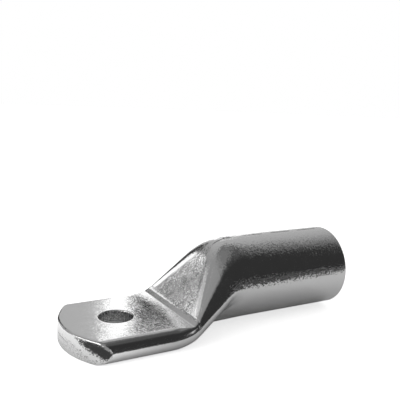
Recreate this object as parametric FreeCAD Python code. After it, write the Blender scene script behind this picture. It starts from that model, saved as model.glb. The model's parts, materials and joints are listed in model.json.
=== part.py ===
import FreeCAD, Part
import math
import os

os.makedirs("parts", exist_ok=True)

# A heavy copper cable lug for one bolt, pressed from a single length of drawn tube.
# One end of the tube stays round and takes the cable. The other end is squeezed flat
# between two dies into the palm, which is sheared to an arc at its tip and punched for the bolt.
# Sizes are in mm. The origin is where the axis of the bolt hole meets the contact face.
# +X runs from the bolt hole to the open mouth of the barrel, and +Z points up out of the palm.

# Tube
tube_diameter = 39.0          # outside diameter of the barrel
bore_diameter = 28.0          # inside diameter of the barrel
hole_to_mouth = 115.4         # from the axis of the bolt hole to the mouth
barrel_lift = 1.2             # height of the barrel's underside above the contact face
mouth_bevel = 0.8             # bevel on the outer edge of the mouth
mouth_chamfer = 1.2           # lead-in chamfer on the inner edge of the mouth

# Palm
bolt_hole_diameter = 15.0     # clearance hole for the bolt
palm_thickness = 9.6          # both walls of the tube pressed together
palm_width = 53.6             # over the folded sides
hole_to_tip = 24.3            # from the axis of the bolt hole to the middle of the tip
tip_radius = 38.5             # radius of the sheared tip
shear_bevel = 0.5             # edge that the shear and the punch draw in on the upper face
seam_gap = 0.2                # opening of the line where the two walls meet
seam_depth = 1.0              # how far that line opens inwards from a cut edge
seam_margin = 0.6             # how far inside the folds' centres the seam ends
seam_start = 1.5              # opening of the hollow where it closes into the seam
side_thickening = 0.45        # how much thicker the folded sides get as the tube closes
side_place = 0.85             # height of the hollow's widest point, as a share of its opening
ream_depth = 0.1              # how much the bore is reamed out of the drawn tube, on the radius

# Crease and ramp pressed by the upper die
hole_to_crease = 25.4         # from the axis of the bolt hole to the crease
crease_band_run = 1.9         # length of the narrow band behind the crease
crease_band_rise = 1.9        # rise of that band
ramp_slope = 1.4              # rise over run of the flat ramp
shoulder_drop = 9.6           # height of the barrel's top above the upper end of the ramp
shoulder_run = 19.0           # length over which the ramp rounds over into the barrel

# Folded sides, which sweep up from the palm to the middle of the barrel
fold_lead = 9.4               # distance before the crease where the sides start to rise
fold_bend_radius = 24.0       # bend of the sides, seen from the side
fold_slope = 0.58             # rise over run of the sides after the bend
fold_run_out = 14.0           # length in which the sides fade into the barrel
fold_stand_out = 1.5          # how far they still stand proud where they begin to fade
fold_growth = 1.6             # growth of the fold's radius on its way up
taper_lead = 1.6              # distance after the crease where the width begins to taper
taper_rounding = 2.5          # half length of the rounding at the start of the taper
keel_blend = 3.0              # size of the soft hollow between a side and the round underside

# Stamped line of four dashes along the top of the barrel
dash_count = 4
dash_length = 12.0
dash_pitch = 16.6
dash_width = 0.6
dash_depth = 0.3
dash_from_mouth = 5.6         # from the mouth to the nearest dash

# Values that follow from the sizes above
tube_radius = tube_diameter / 2
bore_radius = bore_diameter / 2
tube_wall = tube_radius - bore_radius + ream_depth
bolt_hole_radius = bolt_hole_diameter / 2
half_palm = palm_width / 2
fold_radius = palm_thickness / 2
axis_height = barrel_lift + tube_radius
barrel_top = barrel_lift + tube_diameter
band_end_x = hole_to_crease + crease_band_run
band_end_z = palm_thickness + crease_band_rise
knee_z = barrel_top - shoulder_drop
knee_x = band_end_x + (knee_z - band_end_z) / ramp_slope
barrel_start = knee_x + shoulder_run
fold_start = hole_to_crease - fold_lead
fold_angle = math.atan(fold_slope)
fold_bend_run = fold_bend_radius * math.sin(fold_angle)
fold_bend_rise = fold_bend_radius * (1 - math.cos(fold_angle))
fold_fade = barrel_start - fold_run_out
taper_start = hole_to_crease + taper_lead
taper_slope = (half_palm - tube_radius - fold_stand_out) / (fold_fade - taper_start)

top_land = 0.2                # half width of the level strip left along the top of the barrel
fine_points = 60              # close points from which each curved piece of an outline is drawn
side_count = 24               # points that carry each side of a section
under_count = 31              # points that carry its underside
hollow_count = 17             # points that carry each half of a section of the hollow
section_step = 2.0            # distance between sections along the transition
hollow_step = 5.0             # distance between sections of the hollow
bevel_run_out = 3.0           # length that carries a bevelling tool on out of the metal
keel_fade = 0.25              # angle from the side, in radians, over which the soft hollow fades in
beyond = 10.0                 # how far blanks and cutting solids reach past the lug
nearly = 0.01                 # short distance over which a slope is measured
tiny = 1e-9


def share(x, x0, x1):
    """How far x has come from x0 to x1, from 0 to 1."""
    return min(max((x - x0) / (x1 - x0), 0.0), 1.0)


def ease(x, x0, x1, y0, y1, slope0):
    """Cubic from y0 with a given slope at x0 to a level end of height y1 at x1."""
    run = x1 - x0
    s = share(x, x0, x1)
    start = y0 * (1 + 2 * s) * (1 - s) ** 2
    return start + run * slope0 * s * (1 - s) ** 2 + y1 * s * s * (3 - 2 * s)


def top_height(x):
    """Height of the upper side along the middle: palm, band, ramp, shoulder, barrel."""
    if x <= hole_to_crease:
        return palm_thickness
    if x <= band_end_x:
        return palm_thickness + crease_band_rise * share(x, hole_to_crease, band_end_x)
    if x <= knee_x:
        return band_end_z + ramp_slope * (x - band_end_x)
    return ease(x, knee_x, barrel_start, knee_z, barrel_top, ramp_slope)


def fold_height(x):
    """Height of the middle of the folded side: level, bent up, straight, then level again."""
    if x <= fold_start:
        return fold_radius
    if x <= fold_start + fold_bend_run:
        drop = math.sqrt(fold_bend_radius ** 2 - (x - fold_start) ** 2)
        return fold_radius + fold_bend_radius - drop
    straight = fold_radius + fold_bend_rise - fold_slope * (fold_start + fold_bend_run)
    if x <= fold_fade:
        return straight + fold_slope * x
    return ease(x, fold_fade, barrel_start, straight + fold_slope * fold_fade, axis_height, fold_slope)


def half_width(x):
    """Half the width over the folded sides: palm, rounded start, straight taper, barrel."""
    if x <= taper_start - taper_rounding:
        return half_palm
    if x <= taper_start + taper_rounding:
        return half_palm - taper_slope * (x - taper_start + taper_rounding) ** 2 / (4 * taper_rounding)
    if x <= fold_fade:
        return half_palm - taper_slope * (x - taper_start)
    return ease(x, fold_fade, barrel_start, tube_radius + fold_stand_out, tube_radius, -taper_slope)


def side_radius(x):
    return fold_radius + fold_growth * share(x, hole_to_crease, barrel_start)


def flat_reach(x, ridge):
    """Where a ridge arc that touches the fold's arc from inside leaves the flat top."""
    spare = side_radius(x) - ridge
    rise = top_height(x) - ridge - fold_height(x)
    if rise > spare + tiny:
        return 0.0
    return half_width(x) - side_radius(x) + math.sqrt(max(spare ** 2 - rise ** 2, 0.0))


def side_outline(x):
    """Right side of the section, from the edge of the flat top down to the foot of the fold.

    The ridge arc is a cone with its point at the crease corner, and grows to the tube's radius.
    A straight flank joins it to the fold's arc."""
    radius = side_radius(x)
    fold_y = half_width(x) - radius
    fold_z = fold_height(x)
    top = top_height(x)
    grown = share(top, palm_thickness, barrel_top)
    ridge = tube_radius * grown
    ridge_z = top - ridge
    ridge_y = flat_reach(x, ridge)
    if x > hole_to_crease:
        corner = flat_reach(hole_to_crease, 0.0)
        ridge_y = max(ridge_y, corner * (1 - grown))
    dy = fold_y - ridge_y
    dz = fold_z - ridge_z
    apart = max(math.hypot(dy, dz), abs(ridge - radius) + tiny)
    angle = math.atan2(dz, dy) + math.acos((ridge - radius) / apart)
    start = math.acos(top_land * grown / max(ridge, tiny))
    points = arc_points(ridge_y, ridge_z, ridge, start, angle)
    points += arc_points(fold_y, fold_z, radius, angle, 0.0)
    foot = foot_angle(x)
    return points + [under_point(x, foot * i / fine_points) for i in range(1, fine_points + 1)]


def arc_points(y, z, radius, first, last):
    """Close points along an arc between two angles above level."""
    angles = [first + (last - first) * i / fine_points for i in range(fine_points + 1)]
    return [(y + radius * math.cos(a), z + radius * math.sin(a)) for a in angles]


def foot_angle(x):
    """Angle below level at which the foot of the fold is seen from the middle of the section."""
    radius = side_radius(x)
    return math.atan2(radius, half_width(x) - radius)


def under_point(x, angle):
    """Point of the underside that is seen at an angle below level from the middle.

    It is the further of two curves, the folded side and the round underside of the tube,
    with the corner between them filled softly."""
    radius = side_radius(x)
    fold_y = half_width(x) - radius
    fold_z = fold_height(x)
    keel_z = tube_radius + barrel_lift * share(x, fold_start, barrel_start)
    step = fold_z - radius - (keel_z - tube_radius)
    fade = share(x, barrel_start, fold_fade) * share(angle, 0.0, keel_fade)
    soft = min(keel_blend * fade, max(step, 0.0))
    cos, sin = math.cos(angle), math.sin(angle)
    lift = (keel_z - fold_z) * sin
    keel = -lift + math.sqrt(max(lift ** 2 - (fold_z - keel_z) ** 2 + tube_radius ** 2, 0.0))
    if sin * fold_y < cos * radius:
        side = fold_y * cos + math.sqrt(max(radius ** 2 - (fold_y * sin) ** 2, 0.0))
    else:
        side = radius / sin
    overlap = max(soft - abs(keel - side), 0.0)
    fill = overlap ** 2 / (4 * soft) if soft > 0 else 0.0
    reach = max(keel, side) + fill
    return reach * cos, fold_z - reach * sin


def evenly(points, count):
    """The same open line with a given number of points evenly spaced along it."""
    lengths = [0.0]
    for a, b in zip(points, points[1:]):
        lengths.append(lengths[-1] + math.dist(a, b))
    spaced = []
    j = 0
    for i in range(count):
        target = lengths[-1] * i / (count - 1)
        while lengths[j + 1] < target and j < len(points) - 2:
            j += 1
        part = (target - lengths[j]) / max(lengths[j + 1] - lengths[j], tiny)
        spaced.append([p + (q - p) * part for p, q in zip(points[j], points[j + 1])])
    return spaced


def smooth_edge(points):
    """Smooth curve through evenly spaced points, whose knots fall alike in every section."""
    curve = Part.BSplineCurve()
    curve.interpolate(Points=points, Parameters=[i / (len(points) - 1) for i in range(len(points))])
    return curve.toShape()


def section(x):
    """Closed outline of the pressed tube at x: flat top, two sides and the underside."""
    side = evenly(side_outline(x), side_count)
    foot = foot_angle(x)
    sweep = [foot + (math.pi / 2 - foot) * i / fine_points for i in range(fine_points + 1)]
    half = [under_point(x, a) for a in sweep]
    under = evenly(half + [(-y, z) for y, z in half[-2::-1]], under_count)
    right = [FreeCAD.Vector(x, y, z) for y, z in side]
    left = [FreeCAD.Vector(x, -y, z) for y, z in side[::-1]]
    below = [FreeCAD.Vector(x, y, z) for y, z in under]
    below[0], below[-1] = right[-1], left[0]
    if x <= fold_start:
        bottom = Part.makeLine(below[0], below[-1])
    else:
        bottom = smooth_edge(below)
    top = Part.makeLine(left[-1], right[0])
    return Part.Wire([smooth_edge(right), bottom, smooth_edge(left), top])


def stretch(start, end, step):
    """Solid skin of the tube between two places, straight from section to section.

    The sections are about one step apart, so the straights lie within a hair of the true curve."""
    count = max(round((end - start) / step), 2)
    wires = [section(start + (end - start) * i / count) for i in range(count + 1)]
    return Part.makeLoft(wires, True, True)


def pressed_tube():
    """Outside of the lug before its ends are cut and the palm is punched."""
    palm = Part.Face(section(fold_start)).extrude(FreeCAD.Vector(-fold_start - hole_to_tip - beyond, 0, 0))
    rising = stretch(fold_start, hole_to_crease, section_step)
    band = stretch(hole_to_crease, band_end_x, crease_band_run)
    ramp = stretch(band_end_x, barrel_start, section_step)
    length = hole_to_mouth + beyond - barrel_start
    barrel = Part.Face(section(barrel_start)).extrude(FreeCAD.Vector(length, 0, 0))
    return palm.fuse([rising, band, ramp, barrel])


def cavity_section(x):
    """Closed outline of the hollow at x, one wall inside the tube, as a right and a left half.

    Its four quarters are ellipses that meet at the top, the bottom and the two widest points."""
    opening = roof(x) - floor(x)
    closed = 1 - opening / (tube_diameter - 2 * tube_wall)
    width = half_width(x) - tube_wall * (1 + side_thickening * closed)
    side_z = min(fold_height(x), roof(x) - opening * (1 - side_place))
    right = []
    for i in range(hollow_count):
        up = math.cos(math.pi * i / (hollow_count - 1))
        out = math.sqrt(1 - up * up)
        reach = roof(x) - side_z if up > 0 else side_z - floor(x)
        right.append(FreeCAD.Vector(x, width * out, side_z + reach * up))
    left = [FreeCAD.Vector(x, -p.y, p.z) for p in right[::-1]]
    return Part.Wire([smooth_edge(right), smooth_edge(left)])


def roof(x):
    """Height of the hollow's roof, a full wall under the sloping skin."""
    slope = (top_height(x + nearly) - top_height(x - nearly)) / (2 * nearly)
    return top_height(x) - tube_wall * math.hypot(1, slope)


def floor(x):
    return barrel_lift * share(x, fold_start, barrel_start) + tube_wall


def hollow():
    """Reamed bore for the cable, and past it the space that closes to the seam under the ramp."""
    places = [barrel_start + hollow_step]
    x = barrel_start
    while roof(x) - floor(x) > seam_start:
        places.append(x)
        x -= hollow_step
    taper = Part.makeLoft([cavity_section(x) for x in places], True, True)
    onward = FreeCAD.Vector(1, 0, 0)
    length = hole_to_mouth + beyond - barrel_start
    bore = Part.makeCylinder(bore_radius, length, FreeCAD.Vector(barrel_start, 0, axis_height), onward)
    narrow = bore_radius / 2
    point = FreeCAD.Vector(hole_to_mouth - mouth_chamfer - narrow, 0, axis_height)
    length = narrow + mouth_chamfer + beyond
    lead_in = Part.makeCone(narrow, narrow + length, length, point, onward)
    return taper.fuse([bore, lead_in])


def turned(before, across, bevel, after, middle, axis):
    """Solid turned about an axis from a profile that starts with the points before.

    From the last of them the profile runs on and across by equal amounts, which bevels the edge,
    and out of the metal. The function after gives the rest of the corners from there."""
    along = (before[-1] - before[-2]).normalize()
    out = before[-1] + (along + across) * (bevel + bevel_run_out)
    profile = Part.makePolygon([*before, out, *after(out), before[0]])
    return Part.Face(profile).revolve(middle, axis, 360)


def tip_cutter():
    """Everything past the arc to which the end of the palm is sheared, with its bevelled upper edge."""
    middle = FreeCAD.Vector(tip_radius - hole_to_tip, 0, 0)
    length = hole_to_tip + beyond + middle.x
    block = Part.makeBox(length, 2 * palm_width, 3 * palm_thickness)
    block.translate(FreeCAD.Vector(-hole_to_tip - beyond, -palm_width, -palm_thickness))
    before = [
        FreeCAD.Vector(middle.x, 0, -2 * palm_thickness),
        FreeCAD.Vector(-hole_to_tip, 0, -2 * palm_thickness),
        FreeCAD.Vector(-hole_to_tip, 0, palm_thickness - shear_bevel),
    ]
    inwards = FreeCAD.Vector(1, 0, 0)
    upwards = FreeCAD.Vector(0, 0, 1)

    def after(out):
        high = 3 * palm_thickness
        return [FreeCAD.Vector(out.x, 0, high), FreeCAD.Vector(middle.x, 0, high)]

    return block.cut(turned(before, inwards, shear_bevel, after, middle, upwards))


def punch():
    """Bolt hole, with the upper edge that the punch draws in."""
    before = [
        FreeCAD.Vector(0, 0, -palm_thickness),
        FreeCAD.Vector(bolt_hole_radius, 0, -palm_thickness),
        FreeCAD.Vector(bolt_hole_radius, 0, palm_thickness - shear_bevel),
    ]
    outwards = FreeCAD.Vector(1, 0, 0)
    upwards = FreeCAD.Vector(0, 0, 1)

    def after(out):
        return [FreeCAD.Vector(0, 0, out.z)]

    return turned(before, outwards, shear_bevel, after, FreeCAD.Vector(0, 0, 0), upwards)


def mouth_cutter():
    """Everything past the flat face of the mouth, with the bevel of its outer edge."""
    middle = FreeCAD.Vector(hole_to_mouth, 0, axis_height)
    before = [middle, middle + FreeCAD.Vector(0, 0, tube_radius - mouth_bevel)]
    inwards = FreeCAD.Vector(-1, 0, 0)

    def after(out):
        end = hole_to_mouth + 2 * beyond
        return [FreeCAD.Vector(end, 0, out.z), FreeCAD.Vector(end, 0, axis_height)]

    return turned(before, inwards, mouth_bevel, after, middle, inwards)


def seam():
    """Thin line at mid thickness where the two walls meet, open at the tip and in the hole."""
    width = 2 * (half_palm - fold_radius - seam_margin)
    slot = Part.makeBox(hole_to_tip + beyond, width, seam_gap)
    slot.translate(FreeCAD.Vector(-hole_to_tip - beyond, -width / 2, fold_radius - seam_gap / 2))
    centre = FreeCAD.Vector(tip_radius - hole_to_tip, 0, fold_radius - seam_gap)
    kept = Part.makeCylinder(tip_radius - seam_depth, 2 * seam_gap, centre)
    ring = Part.makeCylinder(bolt_hole_radius + seam_depth, seam_gap)
    ring.translate(FreeCAD.Vector(0, 0, fold_radius - seam_gap / 2))
    return slot.cut(kept), ring


def dashes():
    """Line of short stamped grooves along the top of the barrel."""
    cuts = []
    for i in range(dash_count):
        x = hole_to_mouth - dash_from_mouth - dash_length - i * dash_pitch
        groove = Part.makeBox(dash_length, dash_width, dash_depth + 1)
        groove.translate(FreeCAD.Vector(x, -dash_width / 2, barrel_top - dash_depth))
        cuts.append(groove)
    return cuts


def lug_body():
    """The lug: the pressed tube, cut to length at both ends, punched, hollow and stamped."""
    cutters = [tip_cutter(), mouth_cutter(), punch(), hollow(), *seam(), *dashes()]
    return pressed_tube().cut(cutters)


body = lug_body()
body.exportStep("parts/lug_body.step")
print("solids", len(body.Solids), "faces", len(body.Faces), "valid", body.isValid())
print("volume", round(body.Volume), "mm3")
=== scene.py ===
import json
import math

import bmesh
import bpy
import numpy as np
from mathutils import Matrix, Vector


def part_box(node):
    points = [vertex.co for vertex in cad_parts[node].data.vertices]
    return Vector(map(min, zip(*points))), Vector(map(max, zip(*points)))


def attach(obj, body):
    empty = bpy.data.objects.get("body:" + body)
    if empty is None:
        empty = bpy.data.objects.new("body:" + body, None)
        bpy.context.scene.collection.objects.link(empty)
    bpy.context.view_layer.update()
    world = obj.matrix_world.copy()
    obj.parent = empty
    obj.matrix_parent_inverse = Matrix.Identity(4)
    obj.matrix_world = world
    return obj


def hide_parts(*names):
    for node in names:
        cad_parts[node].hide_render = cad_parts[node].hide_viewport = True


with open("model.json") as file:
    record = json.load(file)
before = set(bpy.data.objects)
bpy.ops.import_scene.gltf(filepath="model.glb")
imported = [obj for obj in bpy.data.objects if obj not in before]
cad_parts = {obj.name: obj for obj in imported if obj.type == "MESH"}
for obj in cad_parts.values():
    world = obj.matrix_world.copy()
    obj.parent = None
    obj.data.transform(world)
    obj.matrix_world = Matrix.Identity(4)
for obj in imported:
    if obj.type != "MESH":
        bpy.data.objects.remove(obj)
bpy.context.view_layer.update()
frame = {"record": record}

# A heavy tinned copper cable lug on a pale floor. Shapes are worked out in millimetres in the
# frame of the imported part: +X from the bolt hole to the mouth, +Z up, and put into metres at the end.
mm = 0.001
hair = 1e-6     # mm: less than this counts as nothing
tiny = 1e-9     # keeps a division clear of zero
mounts = {m["name"]: m for m in frame["record"]["mounts"]}
lowCorner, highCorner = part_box("lug_body")


def tenth(metres):
    return round(metres / mm, 1)    # the tessellated box is good to a tenth of a millimetre


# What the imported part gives, in mm
cad = dict(
    tip=tenth(lowCorner.x), mouth=tenth(highCorner.x), halfPalm=tenth(highCorner.y),
    thickness=tenth(mounts["washer_face"]["pos_m"][2]),
    axis=tenth(mounts["cable_bore"]["pos_m"][2]),
    top=tenth(highCorner.z),
    bore=mounts["cable_bore"]["dims"]["r_mm"],
    hole=mounts["bolt_hole"]["dims"]["r_mm"],
)
cad["radius"] = cad["top"] - cad["axis"]
cad["lift"] = cad["axis"] - cad["radius"]       # of the barrel's underside over the ground

# Shape of the pressed tube, in mm
pressed = dict(
    crease=25.4, bandRun=1.9, bandRise=1.9, rampSlope=1.4, shoulderDrop=9.6, shoulderRun=19.0,
    swellRun=7.0, swellRise=0.3,        # the palm lifts a little before the crease
    creaseSoft=0.35, bandSoft=0.6,      # half lengths over which the two bends are rounded
    ridgeSoft=0.5,                      # smallest rounding of the ridges and of the palm's edges
    rollAngle=5.0, rollWidth=3.2,       # degrees to which the ramp's borders roll over, and their width
    rollSoft=0.2,                       # half length of that bend, as a share of the width
    rollIn=2.0,                         # past the band, where the roll is full
    rollOutFrom=-1.0, rollOutTo=8.0,    # past the knee, where it runs out
    foldLead=9.4, foldBend=24.0, foldSlope=0.58,        # the folded sides rise before the crease
    foldRunOut=14.0, foldProud=1.5, foldGrowth=1.6,     # and blend into the barrel, a little proud of it
    taperLead=1.6, taperSoft=2.5,       # past the crease the width starts to shrink
    keelSoft=3.0, keelFade=0.25,        # the corner between folded side and keel is filled
)
kneeZ = cad["top"] - pressed["shoulderDrop"]
bandX = pressed["crease"] + pressed["bandRun"]
bandZ = cad["thickness"] + pressed["bandRise"]
kneeX = bandX + (kneeZ - bandZ) / pressed["rampSlope"]
barrelX = kneeX + pressed["shoulderRun"]
foldX = pressed["crease"] - pressed["foldLead"]
fadeX = barrelX - pressed["foldRunOut"]
taperX = pressed["crease"] + pressed["taperLead"]
taperSlope = (cad["halfPalm"] - cad["radius"] - pressed["foldProud"]) / (fadeX - taperX)
foldRadius = cad["thickness"] / 2
flatHalf = cad["halfPalm"] - foldRadius


def share(x, start, end):
    return np.clip((x - start) / (end - start), 0, 1)


def smooth(x, start, end):
    s = share(x, start, end)
    return s * s * (3 - 2 * s)


def softBend(x, place, half):
    # zero before the place, the distance past it after, and a parabola over the half lengths between
    return np.where(x > place + half, x - place, np.clip(x - place + half, 0, 2 * half) ** 2 / (4 * half))


def ease(x, x0, x1, y0, y1, slope):
    # cubic from y0 with a slope at x0 to a level end of height y1 at x1
    s = share(x, x0, x1)
    return y0 * (1 + 2 * s) * (1 - s) ** 2 + (x1 - x0) * slope * s * (1 - s) ** 2 + y1 * s * s * (3 - 2 * s)


def topHeight(x):
    # palm, slight swell, crease, short band, flat ramp, and a cubic over the shoulder to the barrel
    p = pressed
    swell = p["swellRise"] * share(x, p["crease"] - p["swellRun"], p["crease"]) ** 2
    bandSlope = (p["bandRise"] - p["swellRise"]) / p["bandRun"]
    rise = bandSlope * softBend(x, p["crease"], p["creaseSoft"])
    rise = rise + (p["rampSlope"] - bandSlope) * softBend(x, bandX, p["bandSoft"])
    shoulder = ease(x, kneeX, barrelX, kneeZ, cad["top"], p["rampSlope"])
    return np.where(x < kneeX, cad["thickness"] + swell + rise, shoulder)


def foldHeight(x):
    # height of the folded sides: level, an arc up, a straight slope, and a cubic to the barrel's axis
    p = pressed
    slope = p["foldSlope"]
    bendRun = p["foldBend"] * math.sin(math.atan(slope))
    bendRise = p["foldBend"] * (1 - math.cos(math.atan(slope)))
    arc = p["foldBend"] - np.sqrt(p["foldBend"] ** 2 - np.clip(x - foldX, 0, bendRun) ** 2)
    line = foldRadius + bendRise + slope * (x - foldX - bendRun)
    atFade = foldRadius + bendRise + slope * (fadeX - foldX - bendRun)
    end = ease(x, fadeX, barrelX, atFade, cad["axis"], slope)
    return np.where(x < foldX + bendRun, foldRadius + arc, np.where(x < fadeX, line, end))


def halfWidth(x):
    # palm, a parabola where the taper starts, a straight taper, and a cubic to the barrel's radius
    p = pressed
    taper = cad["halfPalm"] - taperSlope * softBend(x, taperX, p["taperSoft"])
    end = ease(x, fadeX, barrelX, cad["radius"] + p["foldProud"], cad["radius"], -taperSlope)
    return np.where(x < fadeX, taper, end)


def sideRadius(x):
    return foldRadius + pressed["foldGrowth"] * share(x, pressed["crease"], barrelX)


def flatReach(x, ridge):
    # where a ridge arc that touches the fold's arc from inside leaves the flat top
    spare = sideRadius(x) - ridge
    rise = topHeight(x) - ridge - foldHeight(x)
    reach = halfWidth(x) - sideRadius(x) + np.sqrt(np.maximum(spare ** 2 - rise ** 2, 0))
    return np.where(rise > spare + hair, 0.0, reach)


def arc(centreY, centreZ, radius, first, last, count):
    # points at even angles above level between two angles, one row of them for each section
    angle = first + (last - first) * np.linspace(0, 1, count)
    return np.stack([centreY + radius * np.cos(angle), centreZ + radius * np.sin(angle)], -1)


def underside(x, angle):
    # the further of the folded side and the round keel, seen at an angle below level from the
    # middle of the section, with the corner between them filled by a parabola
    radius, foldZ = sideRadius(x), foldHeight(x)
    foldY = halfWidth(x) - radius
    keelZ = cad["radius"] + cad["lift"] * share(x, foldX, barrelX)
    step = np.maximum(foldZ - radius - (keelZ - cad["radius"]), 0)
    fade = (1 - share(x, fadeX, barrelX)) * share(angle, 0, pressed["keelFade"])
    soft = np.minimum(pressed["keelSoft"] * fade, step) + hair
    cos, sin = np.cos(angle), np.sin(angle)
    drop = (keelZ - foldZ) * sin
    keel = -drop + np.sqrt(np.maximum(drop ** 2 - (foldZ - keelZ) ** 2 + cad["radius"] ** 2, 0))
    onArc = foldY * cos + np.sqrt(np.maximum(radius ** 2 - (foldY * sin) ** 2, 0))
    side = np.where(foldY * sin < radius * cos, onArc, radius / np.maximum(sin, hair))
    fill = np.maximum(soft - np.abs(keel - side), 0) ** 2 / (4 * soft)
    reach = np.maximum(keel, side) + fill
    return np.stack([reach * cos, foldZ - reach * sin], -1)


def rollAngle(x):
    p = pressed
    started = smooth(x, bandX, bandX + p["rollIn"])
    ended = smooth(x, kneeX + p["rollOutFrom"], kneeX + p["rollOutTo"])
    return math.radians(p["rollAngle"]) * started * (1 - ended)


# Points of a section's close outline, and the grid of the skin: columns across half a section,
# closer where it bends and at its two ends, and rows along the lug, as stops with the step up to
# each. The rows of the tip's face and of the hole's wall are counted from stop to stop
grid = dict(
    flat=60, arc=60, flank=22, foot=40, under=90,
    columns=145, bendWeight=2.5, middleWeight=4.0, middleReach=0.9,
    stops=((19.0, 0.8), (24.4, 0.45), (28.6, 0.15), (34.0, 0.4)), shoulderStep=0.55, barrelStep=1.4,
    dashRows=(-1.2, -0.6, 0, 0.6, 1.2),         # rows about the end of a dash, in soft walls
    palmRows=46, palmGather=1.25,               # rows of the palm, gathered towards the tip
    flatRings=26, flatGather=1.3,               # rings about the hole, gathered towards it
    faceStops=((0.16, 8), (0.46, 9), (0.54, 12), (1.0, 13)), edgeRings=8, wallSteps=(6, 12, 5),
)
middleColumn = (grid["columns"] - 1) // 2


def halfOutline(x):
    # right half of each section from the top middle to the bottom middle, as close points
    g = grid
    x = np.asarray(x, float)[:, None]
    radius, top, foldZ = sideRadius(x), topHeight(x), foldHeight(x)
    foldY = halfWidth(x) - radius
    grown = share(top, cad["thickness"] + pressed["swellRise"], cad["top"])
    ridge = cad["radius"] * grown + pressed["ridgeSoft"] * (1 - grown)
    ridgeY = flatReach(x, ridge)
    corner = flatReach(np.array([[pressed["crease"]]]), pressed["ridgeSoft"])
    ridgeY = np.where(x > pressed["crease"], np.maximum(ridgeY, corner * (1 - grown)), ridgeY)
    roll = rollAngle(x)
    reach = ridgeY + ridge * np.sin(roll)
    border = np.minimum(pressed["rollWidth"], reach / 2) + tiny
    sloped = border * (1 - pressed["rollSoft"])
    ridgeZ = top - ridge * np.cos(roll) - sloped * np.tan(roll)
    apart = np.maximum(np.hypot(foldY - ridgeY, foldZ - ridgeZ), np.abs(ridge - radius) + tiny)
    turn = np.arctan2(foldZ - ridgeZ, foldY - ridgeY) + np.arccos((ridge - radius) / apart)
    y = reach * np.linspace(0, 1, g["flat"], endpoint=False)
    flat = np.stack([y, top - np.tan(roll) * softBend(y, reach - sloped, border * pressed["rollSoft"])], -1)
    ridgeArc = arc(ridgeY, ridgeZ, ridge, np.pi / 2 - roll, turn, g["arc"])
    foldArc = arc(foldY, foldZ, radius, turn, 0.0, g["arc"])
    between = np.linspace(0, 1, g["flank"])[1:-1, None]
    flank = ridgeArc[:, -1:] + (foldArc[:, :1] - ridgeArc[:, -1:]) * between
    foot = np.arctan2(radius, foldY)
    angle = np.concatenate([foot * np.linspace(0, 1, g["foot"])[1:],
                            foot + (np.pi / 2 - foot) * np.linspace(0, 1, g["under"])[1:]], 1)
    return np.concatenate([flat, ridgeArc, flank, foldArc, underside(x, angle)], 1)


def respace(outlines):
    # the same outlines on fewer points, spaced by length plus a length for each radian of bend
    g = grid
    edge = np.diff(outlines, axis=1)
    length = np.hypot(edge[..., 0], edge[..., 1])
    heading = np.arctan2(edge[..., 1], edge[..., 0])
    bend = np.abs(np.angle(np.exp(1j * np.diff(heading, axis=1))))
    bend = bend * (length[:, 1:] > hair) * (length[:, :-1] > hair)
    zero = np.zeros((len(outlines), 1))
    bend = (np.concatenate([bend, zero], 1) + np.concatenate([zero, bend], 1)) / 2
    run = np.concatenate([zero, np.cumsum(length, 1)], 1)
    place = (run[:, 1:] + run[:, :-1]) / 2
    nearTop = np.exp(-(place / g["middleReach"]) ** 2)
    nearBottom = np.exp(-((run[:, -1:] - place) / g["middleReach"]) ** 2)
    weight = length * (1 + g["middleWeight"] * (nearTop + nearBottom)) + g["bendWeight"] * bend
    run = np.concatenate([zero, np.cumsum(weight + tiny, 1)], 1)
    run /= run[:, -1:]
    row = np.arange(len(outlines))[:, None] * 2.0      # one long increasing line for all the rows
    wanted = (row + np.linspace(0, 1, g["columns"])).ravel()
    spaced = [np.interp(wanted, (row + run).ravel(), outlines[..., i].ravel()) for i in (0, 1)]
    return np.stack(spaced, -1).reshape(len(outlines), g["columns"], 2)


def places(*stops):
    # rows from stop to stop, each stop given as a place and the step that leads up to it
    rows = [np.array([stops[0][0]])]
    for (x0, _), (x1, step) in zip(stops, stops[1:]):
        rows.append(np.linspace(x0, x1, max(int(round(abs(x1 - x0) / step)), 1) + 1)[1:])
    return np.concatenate(rows)


def stretches(first, *stops):
    # a line of values, each stop given as a value and the count of steps that lead up to it
    line = [np.array([first])]
    for value, steps in stops:
        line.append(np.linspace(line[-1][-1], value, steps + 1)[1:])
    return np.concatenate(line)


def onRows(x, section):
    # points from one x for each row and a section of y and z
    x = np.broadcast_to(np.asarray(x, float).reshape(len(section), -1), section.shape[:2])
    return np.concatenate([x[..., None], section], -1)


class Patches:
    # collects grids of points as one mesh: each patch is an array of rows, columns and x, y, z, with
    # the share to which its points were sheared
    def __init__(self):
        self.points, self.faces, self.shear, self.count = [], [], [], 0

    def add(self, patch, shear=0.0):
        rows, columns = patch.shape[:2]
        index = np.arange(rows * columns).reshape(rows, columns) + self.count
        quads = np.stack([index[:-1, :-1], index[1:, :-1], index[1:, 1:], index[:-1, 1:]], -1)
        self.points.append(patch.reshape(-1, 3))
        self.faces.append(quads.reshape(-1, 4))
        self.shear.append(np.broadcast_to(np.asarray(shear, float), (rows, columns)).ravel())
        self.count += rows * columns


# The stamped line of dashes on the barrel, in mm
dash = dict(count=4, length=12.0, pitch=16.6, width=0.6, depth=0.3, fromMouth=5.6, soft=0.16)


def dashStarts():
    last = cad["mouth"] - dash["fromMouth"] - dash["length"]
    return last - dash["pitch"] * np.arange(dash["count"])[::-1]


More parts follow.
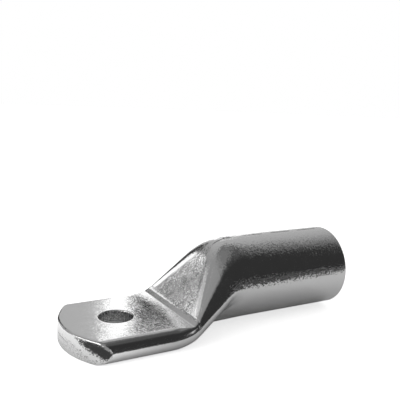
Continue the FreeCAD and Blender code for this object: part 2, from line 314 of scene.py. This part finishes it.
def stamp(skin):
    # each dash lowers the skin by its depth, with soft walls across its width and at its ends
    x, y, z = skin[..., 0], skin[..., 1], skin[..., 2]
    across = smooth(dash["width"] / 2 - np.abs(y), 0, dash["soft"])
    ends = [(start, start + dash["length"]) for start in dashStarts()]
    along = sum(smooth(x, a, a + dash["soft"]) * smooth(-x, -b, dash["soft"] - b) for a, b in ends)
    skin[..., 2] = z - dash["depth"] * across * along * (z > cad["axis"])
    return skin


# Cut edges: the sheared tip, the punched hole and the turned mouth, in mm
cut = dict(
    tipRadius=38.5, splitX=14.0,
    edge=0.9, edgeFade=(0.15, 1.1),             # small rounding that the shear leaves
    pull=0.5, pullDepth=4.6, pullFrom=8.0, pullTo=17.0,  # how far the corners of the tip are pulled in
    pullFade=(0.2, 1.2),                        # both fade in over these heights, in half thicknesses
    burnish=0.36, burnishCorner=0.85, burnishFrom=8.0, burnishTo=24.0,     # smooth share of the cut face
    burnishRough=0.2,                           # how rough that share is against the torn rest
    # waves of the line between smooth and torn: share of the thickness, radians a mm, and start
    tornWaves=((0.05, 1.9, 0), (0.04, 4.3, 1), (0.03, 8.1, 0)), tornSoft=0.05,
    flatMargin=0.05, holeEdge=0.6, holeUnder=0.15, holeShear=0.3,
    seamDepth=0.35, seamHalf=0.11, seamFull=0.3, seamOpen=3.0, seamEnd=8.0, seamZone=0.3,
    score=0.03, scoreSoft=1.2,                  # marks that the punch draws down the hole
    scoreWaves=((9, 0), (23, 1), (41, 2)),      # how many of them go round, and where they start
    mouthEdge=0.9, chamfer=1.2, wall=5.6, thickSides=0.45, sidePlace=0.85, sideBlend=4,
)
edgeX = cad["mouth"] - cut["mouthEdge"]         # where the barrel's outside starts to round in


def tipPlace(y, inset):
    # x of the sheared tip: a circle about a point on the middle plane, moved in by the inset
    centre = cut["tipRadius"] + cad["tip"]
    return centre - np.sqrt((cut["tipRadius"] - inset) ** 2 - y ** 2)


def tipInset(y, z):
    # small round at the upper edge, plus a wide pull that grows towards the corners, both by the
    # depth inside the outline and fading out below mid thickness
    half = foldRadius
    depth = half - np.hypot(np.maximum(np.abs(y) - flatHalf, 0), z - half)
    upper = smooth(z / half, *cut["edgeFade"])
    edge = cut["edge"] * upper + hair
    left = np.clip(edge - depth, 0, edge)
    small = edge - np.sqrt(edge ** 2 - left ** 2)
    strength = cut["pull"] * smooth(np.abs(y), cut["pullFrom"], cut["pullTo"])
    strength = strength * smooth(z / half, *cut["pullFade"])
    wide = strength * np.clip(1 - depth / cut["pullDepth"], 0, 1) ** 2
    return small + wide


def slit(z, fade):
    # depth of the open seam at mid thickness
    near = 1 - smooth(np.abs(z - foldRadius), cut["seamFull"] * cut["seamHalf"], cut["seamHalf"])
    return cut["seamDepth"] * near * fade


def skinRows():
    # x of each row of the skin, closer where it bends and at the ends of the dashes
    g = grid
    rows = places((cut["splitX"], 0), *g["stops"], (barrelX, g["shoulderStep"]))
    ends = np.concatenate([dashStarts(), dashStarts() + dash["length"]])
    onBarrel = [places((barrelX, 0), (edgeX, g["barrelStep"]))[1:]]
    onBarrel += [end + dash["soft"] * np.array(g["dashRows"]) for end in ends]
    onBarrel = np.sort(np.concatenate(onBarrel))
    return np.concatenate([rows, onBarrel[onBarrel > barrelX]])


def skinOutlines(rows):
    # the first section is the palm's, and is made alike above and below
    outlines = respace(halfOutline(rows))
    palm = outlines[0]
    palm[middleColumn + 1:, 0] = palm[:middleColumn, 0][::-1]
    palm[middleColumn + 1:, 1] = cad["thickness"] - palm[:middleColumn, 1][::-1]
    palm[middleColumn] = [cad["halfPalm"], foldRadius]
    return outlines


# Rings of the mouth and the hollow, in mm: close pairs of rings hold the shading at a corner
inside = dict(
    roll=9, face=1.6, lip=0.12, lipDrop=0.05, boreLip=0.1, boreDrop=0.15, boreStep=6.0,
    hollowEnd=30.0, hollowStep=1.5, leastHollow=0.3, lastStep=0.6, nudge=0.05,
)


def mouthRings(angle):
    # the rounded outer edge, the flat face, the chamfer and the bore
    r = inside
    roll = np.linspace(0, np.pi / 2, r["roll"])
    lip = cad["bore"] + cut["chamfer"]
    chamferX = cad["mouth"] - cut["chamfer"]
    corners = ((lip + r["face"], cad["mouth"]), (lip + r["lip"], cad["mouth"]),
               (lip, cad["mouth"] - r["lipDrop"]), (cad["bore"] + r["boreLip"], chamferX),
               (cad["bore"], chamferX - r["boreDrop"]))
    bore = places((corners[-1][1], 0), (barrelX, r["boreStep"]))[1:]
    radii = np.concatenate([cad["radius"] - cut["mouthEdge"] * (1 - np.cos(roll)),
                            [c[0] for c in corners], np.full(len(bore), cad["bore"])])[:, None]
    along = np.concatenate([edgeX + cut["mouthEdge"] * np.sin(roll), [c[1] for c in corners], bore])
    return onRows(along, np.stack([radii * np.cos(angle), cad["axis"] + radii * np.sin(angle)], -1))


def hollowRings(angle):
    # behind the bore the hollow follows the skin at the wall's thickness, and closes to a point
    r = inside
    x = places((barrelX, 0), (r["hollowEnd"], r["hollowStep"]))[:, None]
    slope = (topHeight(x + r["nudge"]) - topHeight(x - r["nudge"])) / (2 * r["nudge"])
    roof = topHeight(x) - cut["wall"] * np.hypot(1, slope)
    floor = cad["lift"] * share(x, foldX, barrelX) + cut["wall"]
    keep = (roof - floor)[:, 0] > r["leastHollow"]
    x, roof, floor = x[keep], roof[keep], floor[keep]
    opening = roof - floor
    closed = 1 - opening / opening[0]
    width = halfWidth(x) - cut["wall"] * (1 + cut["thickSides"] * closed)
    width = width + (cad["bore"] - width[0]) * (1 - closed) ** cut["sideBlend"]
    sideZ = np.minimum(foldHeight(x), roof - opening * (1 - cut["sidePlace"]))
    reach = np.where(angle > 0, roof - sideZ, sideZ - floor)
    reach[0] = cad["bore"]
    hollow = np.stack([width * np.cos(angle), sideZ + reach * np.sin(angle)], -1)
    last = np.stack([0 * angle, np.full(len(angle), (roof[-1, 0] + floor[-1, 0]) / 2)], -1)
    hollow = np.concatenate([hollow, last[None]])
    return onRows(np.append(x[:, 0], x[-1, 0] - r["lastStep"]), hollow)


def palmStrip(section):
    # the palm's skin from the sheared tip to where the sections start
    tipRow = tipPlace(section[:, 0], tipInset(section[:, 0], section[:, 1]))
    rowShare = np.linspace(0, 1, grid["palmRows"])[:, None] ** grid["palmGather"]
    x = tipRow + (cut["splitX"] - tipRow) * rowShare
    return onRows(x, np.broadcast_to(section, x.shape + (2,)))


def tipFace(section):
    # the sheared face with its open seam, smooth above a wavy line and torn below it
    c = cut
    down = stretches(0.0, *grid["faceStops"])[:, None]
    topY, topZ = section[:middleColumn + 1, 0], section[:middleColumn + 1, 1]
    z = topZ + (cad["thickness"] - 2 * topZ) * down
    y = np.broadcast_to(topY, z.shape)
    fade = 1 - smooth(y, c["seamOpen"], c["seamEnd"])
    x = tipPlace(y, tipInset(y, z) + slit(z, fade))
    line = c["burnish"] + (c["burnishCorner"] - c["burnish"]) * smooth(y, c["burnishFrom"], c["burnishTo"])
    line = line + sum(high * np.sin(turns * y + start) for high, turns, start in c["tornWaves"])
    torn = smooth(down, line - c["tornSoft"], line + c["tornSoft"])
    return np.stack([x, y, z], -1), c["burnishRough"] + (1 - c["burnishRough"]) * torn


def ringsRound(around, radius, height):
    return np.stack(np.broadcast_arrays(radius * np.cos(around), radius * np.sin(around), height), -1)


def addFlats(patches, strip, flatEnd):
    # each flat side of the palm, from its outline in to the hole, and then the wall of the hole
    c = cut
    turns = {}
    for side in (1, -1):
        flat = (strip if side > 0 else strip[:, ::-1])[:, :flatEnd + 1]
        loop = np.concatenate([flat[0, :-1], flat[:-1, -1], flat[-1, ::-1]])
        around = turns[side] = np.arctan2(loop[:, 1], loop[:, 0])
        rim = cad["hole"] + (c["holeEdge"] if side > 0 else c["holeUnder"])
        ring = np.stack([rim * np.cos(around), rim * np.sin(around), loop[:, 2]], -1)
        out = np.linspace(0, 1, grid["flatRings"])[:, None, None] ** grid["flatGather"]
        patches.add(ring + (loop - ring) * out)
        if side > 0:
            turn = np.linspace(0, np.pi / 2, grid["edgeRings"])[:, None]
            radius = rim - c["holeEdge"] * np.sin(turn)
            height = cad["thickness"] - c["holeEdge"] * (1 - np.cos(turn))
        else:
            radius = np.array([[rim], [cad["hole"]]])
            height = np.array([[0.0], [c["holeUnder"]]])
        sheared = share(cad["hole"] + c["holeShear"] - radius, 0, c["holeShear"])
        patches.add(ringsRound(around, radius, height), sheared)
    stops = (foldRadius - c["seamZone"], foldRadius + c["seamZone"], cad["thickness"] - c["holeEdge"])
    z = stretches(c["holeUnder"], *zip(stops, grid["wallSteps"]))[:, None]
    around = turns[-1] + (turns[1] - turns[-1]) * share(z, z[0], z[-1])
    score = sum(np.sin(count * around + start) for count, start in c["scoreWaves"])
    score = score * smooth(z, z[0], z[0] + c["scoreSoft"]) * (1 - smooth(z, z[-1] - c["scoreSoft"], z[-1]))
    radius = cad["hole"] + slit(z, 1.0) + c["score"] * score
    patches.add(ringsRound(around, radius, z), c["burnishRough"])


def lugSurface():
    # one half of the lug, as patches that meet at the middle plane and at their edges
    patches = Patches()
    rows = skinRows()
    outlines = skinOutlines(rows)
    patches.add(stamp(onRows(rows, outlines)))
    print("skin with", len(rows), "rows and", grid["columns"], "columns")
    angle = np.arctan2(outlines[-1, :, 1] - cad["axis"], outlines[-1, :, 0])
    patches.add(mouthRings(angle))
    patches.add(hollowRings(angle))
    print("mouth, bore and hollow")
    section = outlines[0]
    strip = palmStrip(section)
    flatEnd = int(np.max(np.nonzero(section[:middleColumn, 0] < flatHalf - cut["flatMargin"])[0]))
    patches.add(strip[:, flatEnd:grid["columns"] - flatEnd])
    patches.add(*tipFace(section))
    addFlats(patches, strip, flatEnd)
    print("palm, sheared tip and hole")
    return patches


# Tin on drawn copper, in mm: sizes of the grain, of the flat specks that turn their own way, and of
# the marks left by drawing and pressing. The real grain is a few hundredths of a millimetre wide,
# and grain and specks are drawn coarser here, so that they show
tin = dict(
    colour="#CBCBCB", roughness=0.09, roughSpread=0.05,
    roughFrom=0.35, roughTo=0.65,               # values of the patches between which it spreads
    grain=0.6, grainHeight=0.12, speck=0.45, speckTilt=0.1, fine=0.2, fineHeight=0.006,
    onPalm=0.15, onRamp=0.18, onBarrel=0.65, onShear=3.0, tornRough=0.12,
    rampFrom=-3.0, rampTo=1.0,                  # about the crease, where the ramp's grain sets in
    barrelFrom=-4.0, barrelTo=6.0,              # about the knee, where the barrel's does
    borderLess=0.7,                             # how much smoother the ramp's rolled borders are
    borderIn=(-0.6, -0.2), borderOut=(0.4, 0.9),        # where they lie, in widths in from the edge
    patch=2.2, patchHeight=0.03, wave=9.0, waveHeight=0.04,
    dieLine=0.35, dieLineHeight=0.006, dieStretch=0.06,         # how far the lines are drawn out
)


def grainDepth(points, shear):
    # share of the full grain: little on the palm and the ramp, which the flat dies smoothed, least
    # on the ramp's rolled borders, more on the drawn barrel, and most on what was sheared
    x = points[:, 0]
    g = tin
    drawn = smooth(x, kneeX + g["barrelFrom"], kneeX + g["barrelTo"])
    drawn = g["onRamp"] + (g["onBarrel"] - g["onRamp"]) * drawn
    past = smooth(x, pressed["crease"] + g["rampFrom"], pressed["crease"] + g["rampTo"])
    depth = g["onPalm"] + (drawn - g["onPalm"]) * past
    grown = share(topHeight(x), cad["thickness"] + pressed["swellRise"], cad["top"])
    fromEdge = (flatHalf * (1 - grown) - np.abs(points[:, 1])) / pressed["rollWidth"]
    border = smooth(fromEdge, *g["borderIn"]) * (1 - smooth(fromEdge, *g["borderOut"]))
    border = border * (rollAngle(x) > 0) * (points[:, 2] > foldHeight(x))
    return np.maximum(depth * (1 - g["borderLess"] * border), shear * g["onShear"])


# How the patches become one mesh: points this close are merged and edges this short dissolved, in
# mm, and edges over this angle in degrees stay sharp
joining = dict(merge=0.004, shortest=0.002, sharp=32)


def meshFromHalf(name, patches):
    # the half is mirrored across the middle plane, and what meets is merged
    points = np.concatenate(patches.points)
    faces = np.concatenate(patches.faces)
    shear = np.concatenate(patches.shear)
    mirrored = points * [1, -1, 1]
    points = np.concatenate([points, mirrored]) * mm
    faces = np.concatenate([faces, faces[:, ::-1] + patches.count])
    mesh = bpy.data.meshes.new(name)
    mesh.vertices.add(len(points))
    mesh.vertices.foreach_set("co", points.ravel())
    mesh.loops.add(faces.size)
    mesh.loops.foreach_set("vertex_index", faces.ravel())
    mesh.polygons.add(len(faces))
    mesh.polygons.foreach_set("loop_start", np.arange(0, faces.size, 4))
    mesh.update(calc_edges=True)
    torn = np.concatenate([shear, shear])
    for attribute, values in (("grainDepth", grainDepth(points / mm, torn)), ("torn", torn)):
        mesh.attributes.new(attribute, "FLOAT", "POINT").data.foreach_set("value", values)
    mesh.validate()
    work = bmesh.new()
    work.from_mesh(mesh)
    bmesh.ops.remove_doubles(work, verts=work.verts, dist=joining["merge"] * mm)
    bmesh.ops.dissolve_degenerate(work, edges=work.edges, dist=joining["shortest"] * mm)
    bmesh.ops.recalc_face_normals(work, faces=work.faces)
    openEdges = sum(1 for e in work.edges if not e.is_manifold)
    work.to_mesh(mesh)
    work.free()
    mesh.set_sharp_from_angle(angle=math.radians(joining["sharp"]))
    print(name, len(mesh.vertices), "points", len(mesh.polygons), "faces", openEdges, "open edges")
    return mesh


def linear(hexColour):
    # sRGB hex to linear red, green, blue and alpha
    channels = [int(hexColour[i:i + 2], 16) / 255 for i in (1, 3, 5)]
    return [c / 12.92 if c <= 0.04045 else ((c + 0.055) / 1.055) ** 2.4 for c in channels] + [1.0]


def node(tree, kind, settings=None, links=None):
    # one node with its settings and its inputs linked or set by name or number
    made = tree.nodes.new(kind)
    for key, value in (settings or {}).items():
        setattr(made, key, value)
    for key, value in (links or {}).items():
        if isinstance(value, bpy.types.NodeSocket):
            tree.links.new(value, made.inputs[key])
        else:
            made.inputs[key].default_value = value
    return made


def newMaterial(name):
    material = bpy.data.materials.new(name)
    material.use_nodes = True
    material.node_tree.nodes.clear()
    return material, material.node_tree


def maths(tree, operation, *values):
    made = node(tree, "ShaderNodeMath", {"operation": operation}, dict(enumerate(values)))
    return made.outputs[0]


def noise(tree, place, size, detail=2.0):
    # values about 0.5 whose blobs are about one size across, in mm
    made = node(tree, "ShaderNodeTexNoise", links={
        "Vector": place, "Scale": 0.5 / (size * mm), "Detail": detail})
    return made.outputs["Fac"]


def vectorMaths(tree, operation, links):
    return node(tree, "ShaderNodeVectorMath", {"operation": operation}, links).outputs[0]


def tinnedCopper():
    # bright tin plating over drawn and pressed copper: a mirror with a fine grain and flat specks,
    # which break up the edges of what it reflects, soft waves from the dies, and fine lines along
    # the tube
    material, tree = newMaterial("bright_tinned_copper")
    place = node(tree, "ShaderNodeTexCoord").outputs["Object"]
    drawn = node(tree, "ShaderNodeMapping", links={"Vector": place, "Scale": (tin["dieStretch"], 1.0, 1.0)})
    depth = node(tree, "ShaderNodeAttribute", {"attribute_name": "grainDepth"}).outputs["Fac"]
    grain = maths(tree, "SUBTRACT", noise(tree, place, tin["grain"]), 0.5)
    grain = maths(tree, "MULTIPLY", grain, depth)
    patch = noise(tree, place, tin["patch"], 3.0)
    parts = [(grain, tin["grainHeight"]),
             (patch, tin["patchHeight"]),
             (noise(tree, place, tin["fine"]), tin["fineHeight"]),
             (noise(tree, place, tin["wave"], 1.0), tin["waveHeight"]),
             (noise(tree, drawn.outputs[0], tin["dieLine"]), tin["dieLineHeight"])]
    height = 0.0
    for value, size in parts:
        height = maths(tree, "MULTIPLY_ADD", value, size * mm, height)
    bump = node(tree, "ShaderNodeBump", links={"Height": height, "Distance": 1.0}).outputs[0]
    # each speck of the tin is flat and turned a little its own way
    cells = node(tree, "ShaderNodeTexVoronoi", links={"Vector": place, "Scale": 1 / (tin["speck"] * mm)})
    own = vectorMaths(tree, "SUBTRACT", {0: cells.outputs["Color"], 1: (0.5, 0.5, 0.5)})
    tilt = maths(tree, "MULTIPLY", depth, 2 * tin["speckTilt"])
    tilted = vectorMaths(tree, "ADD", {0: bump, 1: vectorMaths(tree, "SCALE", {0: own, "Scale": tilt})})
    normal = vectorMaths(tree, "NORMALIZE", {0: tilted})
    rough = node(tree, "ShaderNodeMapRange", links={
        "Value": patch, "From Min": tin["roughFrom"], "From Max": tin["roughTo"],
        "To Min": tin["roughness"], "To Max": tin["roughness"] + tin["roughSpread"]}).outputs[0]
    torn = node(tree, "ShaderNodeAttribute", {"attribute_name": "torn"}).outputs["Fac"]
    rough = maths(tree, "MULTIPLY_ADD", torn, tin["tornRough"], rough)
    shader = node(tree, "ShaderNodeBsdfPrincipled", links={
        "Base Color": linear(tin["colour"]), "Metallic": 1.0, "Roughness": rough, "Normal": normal})
    node(tree, "ShaderNodeOutputMaterial", links={"Surface": shader.outputs[0]})
    return material


lug = bpy.data.objects.new("tinned_lug", meshFromHalf("tinned_lug", lugSurface()))
bpy.context.scene.collection.objects.link(lug)
lug.data.materials.append(tinnedCopper())
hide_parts("lug_body")
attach(lug, "root")
print("lug made")

# Camera, found from the photograph's outline of the lug: place and aim in mm, roll in degrees,
# lens and sensor in their own mm, and what it sees from and to in metres
view = dict(
    place=(-89.9, -227.1, 105.4), aim=(40.3, 0.0, 59.0), roll=2.12,
    lens=52.46, sensor=36.0, clip=(0.01, 20.0),
)


def addCamera():
    camera = bpy.data.cameras.new("camera")
    camera.lens = view["lens"]
    camera.sensor_width = view["sensor"]
    camera.clip_start, camera.clip_end = view["clip"]
    eye = bpy.data.objects.new("camera", camera)
    place = Vector(view["place"]) * mm
    forward = Vector(view["aim"]) * mm - place
    turn = forward.to_track_quat("-Z", "Y").to_matrix() @ Matrix.Rotation(math.radians(view["roll"]), 3, "Z")
    eye.matrix_world = Matrix.Translation(place) @ turn.to_4x4()
    bpy.context.scene.collection.objects.link(eye)
    bpy.context.scene.camera = eye
    print("camera at", tuple(round(v, 4) for v in place))


addCamera()

# The studio. Around the lug stands the white background, and lamps and dark flags hang before it in
# turn, each over the last: azimuth in degrees from +Y towards +X, elevation, how soft the edges
# are, and the level, where 1 is white
panels = dict(
    overhead=dict(azimuth=(-400, 400), elevation=(-20, 95), soft=(1, 1), level=0.27),
    side=dict(azimuth=(-400, 400), elevation=(-20, 62), soft=(1, 10), level=0.045),
    overSide=dict(azimuth=(60, 190), elevation=(-20, 73), soft=(40, 6), level=0.12),
    nearSide=dict(azimuth=(108, 400), elevation=(-20, 60), soft=(20, 14), level=0.045),
    left=dict(azimuth=(-172, -36), elevation=(-20, 72), soft=(60, 16), level=0.42),
    leftLow=dict(azimuth=(-140, -74), elevation=(-20, 22), soft=(10, 8), level=0.16),
    farLeft=dict(azimuth=(-176, -138), elevation=(-20, 48), soft=(10, 10), level=0.4),
    leftLamp=dict(azimuth=(-70, -52), elevation=(-20, 30), soft=(8, 12), level=1.0),
    rimLamp=dict(azimuth=(-122, -60), elevation=(23, 44), soft=(6, 4), level=3.0),
    rimStrip=dict(azimuth=(166, 184), elevation=(-20, 28), soft=(4, 4), level=0.9),
    back=dict(azimuth=(-36, 82), elevation=(-20, 57), soft=(84, 12), level=0.62),
    facet=dict(azimuth=(-44, -2), elevation=(-20, 26), soft=(6, 4), level=0.18),
    ridgeTop=dict(azimuth=(-43, -30.4), elevation=(19, 27), soft=(1.0, 1.4), level=0.9),
    nearRidge=dict(azimuth=(-43, -30.4), elevation=(18.2, 21.6), soft=(1.0, 2.0), level=1.8),
    farRidge=dict(azimuth=(-25.6, -15), elevation=(9, 24), soft=(0.9, 2), level=1.8),
    beyondRidge=dict(azimuth=(-15, 6), elevation=(-20, 30), soft=(2, 5), level=0.06),
    tip=dict(azimuth=(8, 24), elevation=(-20, 36), soft=(4, 8), level=0.64),
    strip=dict(azimuth=(20.4, 23.3), elevation=(-20, 28), soft=(0.9, 4), level=1.9),
    mouthSide=dict(azimuth=(58, 114), elevation=(-20, 33), soft=(10, 10), level=0.6),
    gap=dict(azimuth=(23.3, 33), elevation=(15, 25.4), soft=(0.9, 1.6), level=0.03),
    swell=dict(azimuth=(22, 35), elevation=(23.2, 29), soft=(2, 0.9), level=1.1),
    farStrip=dict(azimuth=(22, 34), elevation=(-20, 14), soft=(2, 3), level=1.6),
)
# The sheet under the lug, in mm: it glows for the camera and in the metal, less under the lug as painted
# shade, and in the metal more by the tip as a painted pool of light
sheet = dict(
    radius=4000, corners=96, colour="#F2F2F2", cameraFill=0.9, cameraShade=0.25, cameraReach=25,
    metalFill=0.32, metalReach=125, metalShade=2.4, metalLeast=0.08,
    poolFill=0.66, poolFrom=28, poolTo=-20, samples=16,
)
# A dark grey card on the sheet before the lug, which only the metal shows: a painted dark reflection of
# the shaded front of the studio. Its corners in mm
card = dict(
    corners=((-500, 60), (-60, 8), (-27, -21), (0, -50), (60, -66), (150, -104), (900, -320),
             (900, -1500), (-500, -1500)),
    height=0.3, colour="#686868",
)


def within(tree, value, low, high, soft):
    # 1 between the two ends and 0 outside, with edges that are soft by a number of degrees
    smoothly = {"interpolation_type": "SMOOTHSTEP"}
    up = node(tree, "ShaderNodeMapRange", smoothly, {
        "Value": value, "From Min": low - soft / 2, "From Max": low + soft / 2})
    down = node(tree, "ShaderNodeMapRange", smoothly, {
        "Value": value, "From Min": high - soft / 2, "From Max": high + soft / 2,
        "To Min": 1.0, "To Max": 0.0})
    return maths(tree, "MULTIPLY", up.outputs[0], down.outputs[0])


def addStudio():
    world = bpy.data.worlds.new("studio")
    bpy.context.scene.world = world
    world.use_nodes = True
    tree = world.node_tree
    tree.nodes.clear()
    path = node(tree, "ShaderNodeLightPath").outputs
    direction = node(tree, "ShaderNodeTexCoord").outputs["Generated"]
    axes = node(tree, "ShaderNodeSeparateXYZ", links={0: direction}).outputs
    azimuth = maths(tree, "DEGREES", maths(tree, "ARCTAN2", axes[0], axes[1]))
    elevation = maths(tree, "DEGREES", maths(tree, "ARCSINE", axes[2]))
    # the white background shows to the camera and in the metal, wherever no lamp or flag hides it
    level = maths(tree, "MAXIMUM", maths(tree, "MAXIMUM", path["Is Camera Ray"], path["Is Glossy Ray"]),
                  path["Is Transmission Ray"])
    unseen = maths(tree, "SUBTRACT", 1.0, path["Is Camera Ray"])
    for panel in panels.values():
        across = within(tree, azimuth, *panel["azimuth"], panel["soft"][0])
        up = within(tree, elevation, *panel["elevation"], panel["soft"][1])
        mask = maths(tree, "MULTIPLY", maths(tree, "MULTIPLY", across, up), unseen)
        level = node(tree, "ShaderNodeMix", links={0: mask, 2: level, 3: panel["level"]}).outputs[0]
    light = node(tree, "ShaderNodeBackground", links={"Color": (1, 1, 1, 1), "Strength": level})
    node(tree, "ShaderNodeOutputWorld", links={"Surface": light.outputs[0]})
    print("studio with", len(panels), "lamps and flags")


def flatPiece(name, corners, height, material):
    mesh = bpy.data.meshes.new(name)
    mesh.from_pydata([(x * mm, y * mm, height * mm) for x, y in corners], [], [list(range(len(corners)))])
    mesh.materials.append(material)
    piece = bpy.data.objects.new(name, mesh)
    bpy.context.scene.collection.objects.link(piece)
    return piece


def openness(tree, reach):
    # 1 where nothing stands within the reach, in mm, and less where the lug is close
    made = node(tree, "ShaderNodeAmbientOcclusion", {"samples": sheet["samples"]}, {"Distance": reach * mm})
    return made.outputs["AO"]


def paleSheet():
    # matt white paper, which gives a soft shadow and no gloss. It also glows: to the camera nearly
    # evenly, with a faint painted shadow where the lug is close, and in the metal more dimly, with painted
    # shade by how open the place is to the studio and a painted pool of light at the tip
    s = sheet
    material, tree = newMaterial("pale_matt_paper")
    matt = node(tree, "ShaderNodeBsdfDiffuse", links={"Color": linear(s["colour"])}).outputs[0]
    place = node(tree, "ShaderNodeTexCoord").outputs["Object"]
    along = node(tree, "ShaderNodeSeparateXYZ", links={0: place}).outputs[0]
    # a painted pool of light on the sheet by the tip, seen in the metal
    paintedPool = node(tree, "ShaderNodeMapRange", {"interpolation_type": "SMOOTHSTEP"}, {
        "Value": along, "From Min": s["poolTo"] * mm, "From Max": s["poolFrom"] * mm,
        "To Min": s["metalFill"] + s["poolFill"], "To Max": s["metalFill"]}).outputs[0]
    path = node(tree, "ShaderNodeLightPath").outputs
    # painted shadow: the glow to the camera dims where the lug is close
    toCamera = maths(tree, "MULTIPLY_ADD", openness(tree, s["cameraReach"]),
                     s["cameraFill"] * s["cameraShade"], s["cameraFill"] * (1 - s["cameraShade"]))
    toCamera = maths(tree, "MULTIPLY", path["Is Camera Ray"], toCamera)
    # painted shade in the metal: the glow dims where the lug is close, most under it
    wide = maths(tree, "POWER", openness(tree, s["metalReach"]), s["metalShade"])
    wide = maths(tree, "MULTIPLY_ADD", wide, 1 - s["metalLeast"], s["metalLeast"])
    mirrored = maths(tree, "MAXIMUM", path["Is Glossy Ray"], path["Is Transmission Ray"])
    inMetal = maths(tree, "MULTIPLY", mirrored, maths(tree, "MULTIPLY", wide, paintedPool))
    strength = maths(tree, "ADD", toCamera, inMetal)
    glow = node(tree, "ShaderNodeEmission", links={"Strength": strength}).outputs[0]
    both = node(tree, "ShaderNodeAddShader", links={0: matt, 1: glow}).outputs[0]
    node(tree, "ShaderNodeOutputMaterial", links={"Surface": both})
    return material


def paintedShadeCard():
    # dull grey card, which the metal shows as the dim front of the studio: a painted dark reflection,
    # seen by nothing else
    material, tree = newMaterial("matt_grey_card")
    matt = node(tree, "ShaderNodeBsdfDiffuse", links={"Color": linear(card["colour"])}).outputs[0]
    node(tree, "ShaderNodeOutputMaterial", links={"Surface": matt})
    return material


def addFloor():
    turn = np.linspace(0, 2 * np.pi, sheet["corners"], endpoint=False)
    flatPiece("floor", sheet["radius"] * np.stack([np.cos(turn), np.sin(turn)], -1), 0.0, paleSheet())
    grey = flatPiece("front_card", card["corners"], card["height"], paintedShadeCard())
    # hidden from the camera, from light and from shadows: the card is only a painted dark reflection in the
    # metal
    grey.visible_camera = grey.visible_diffuse = grey.visible_shadow = False
    print("floor and card")


addStudio()
addFloor()

bpy.context.scene.view_settings.view_transform = "Standard"
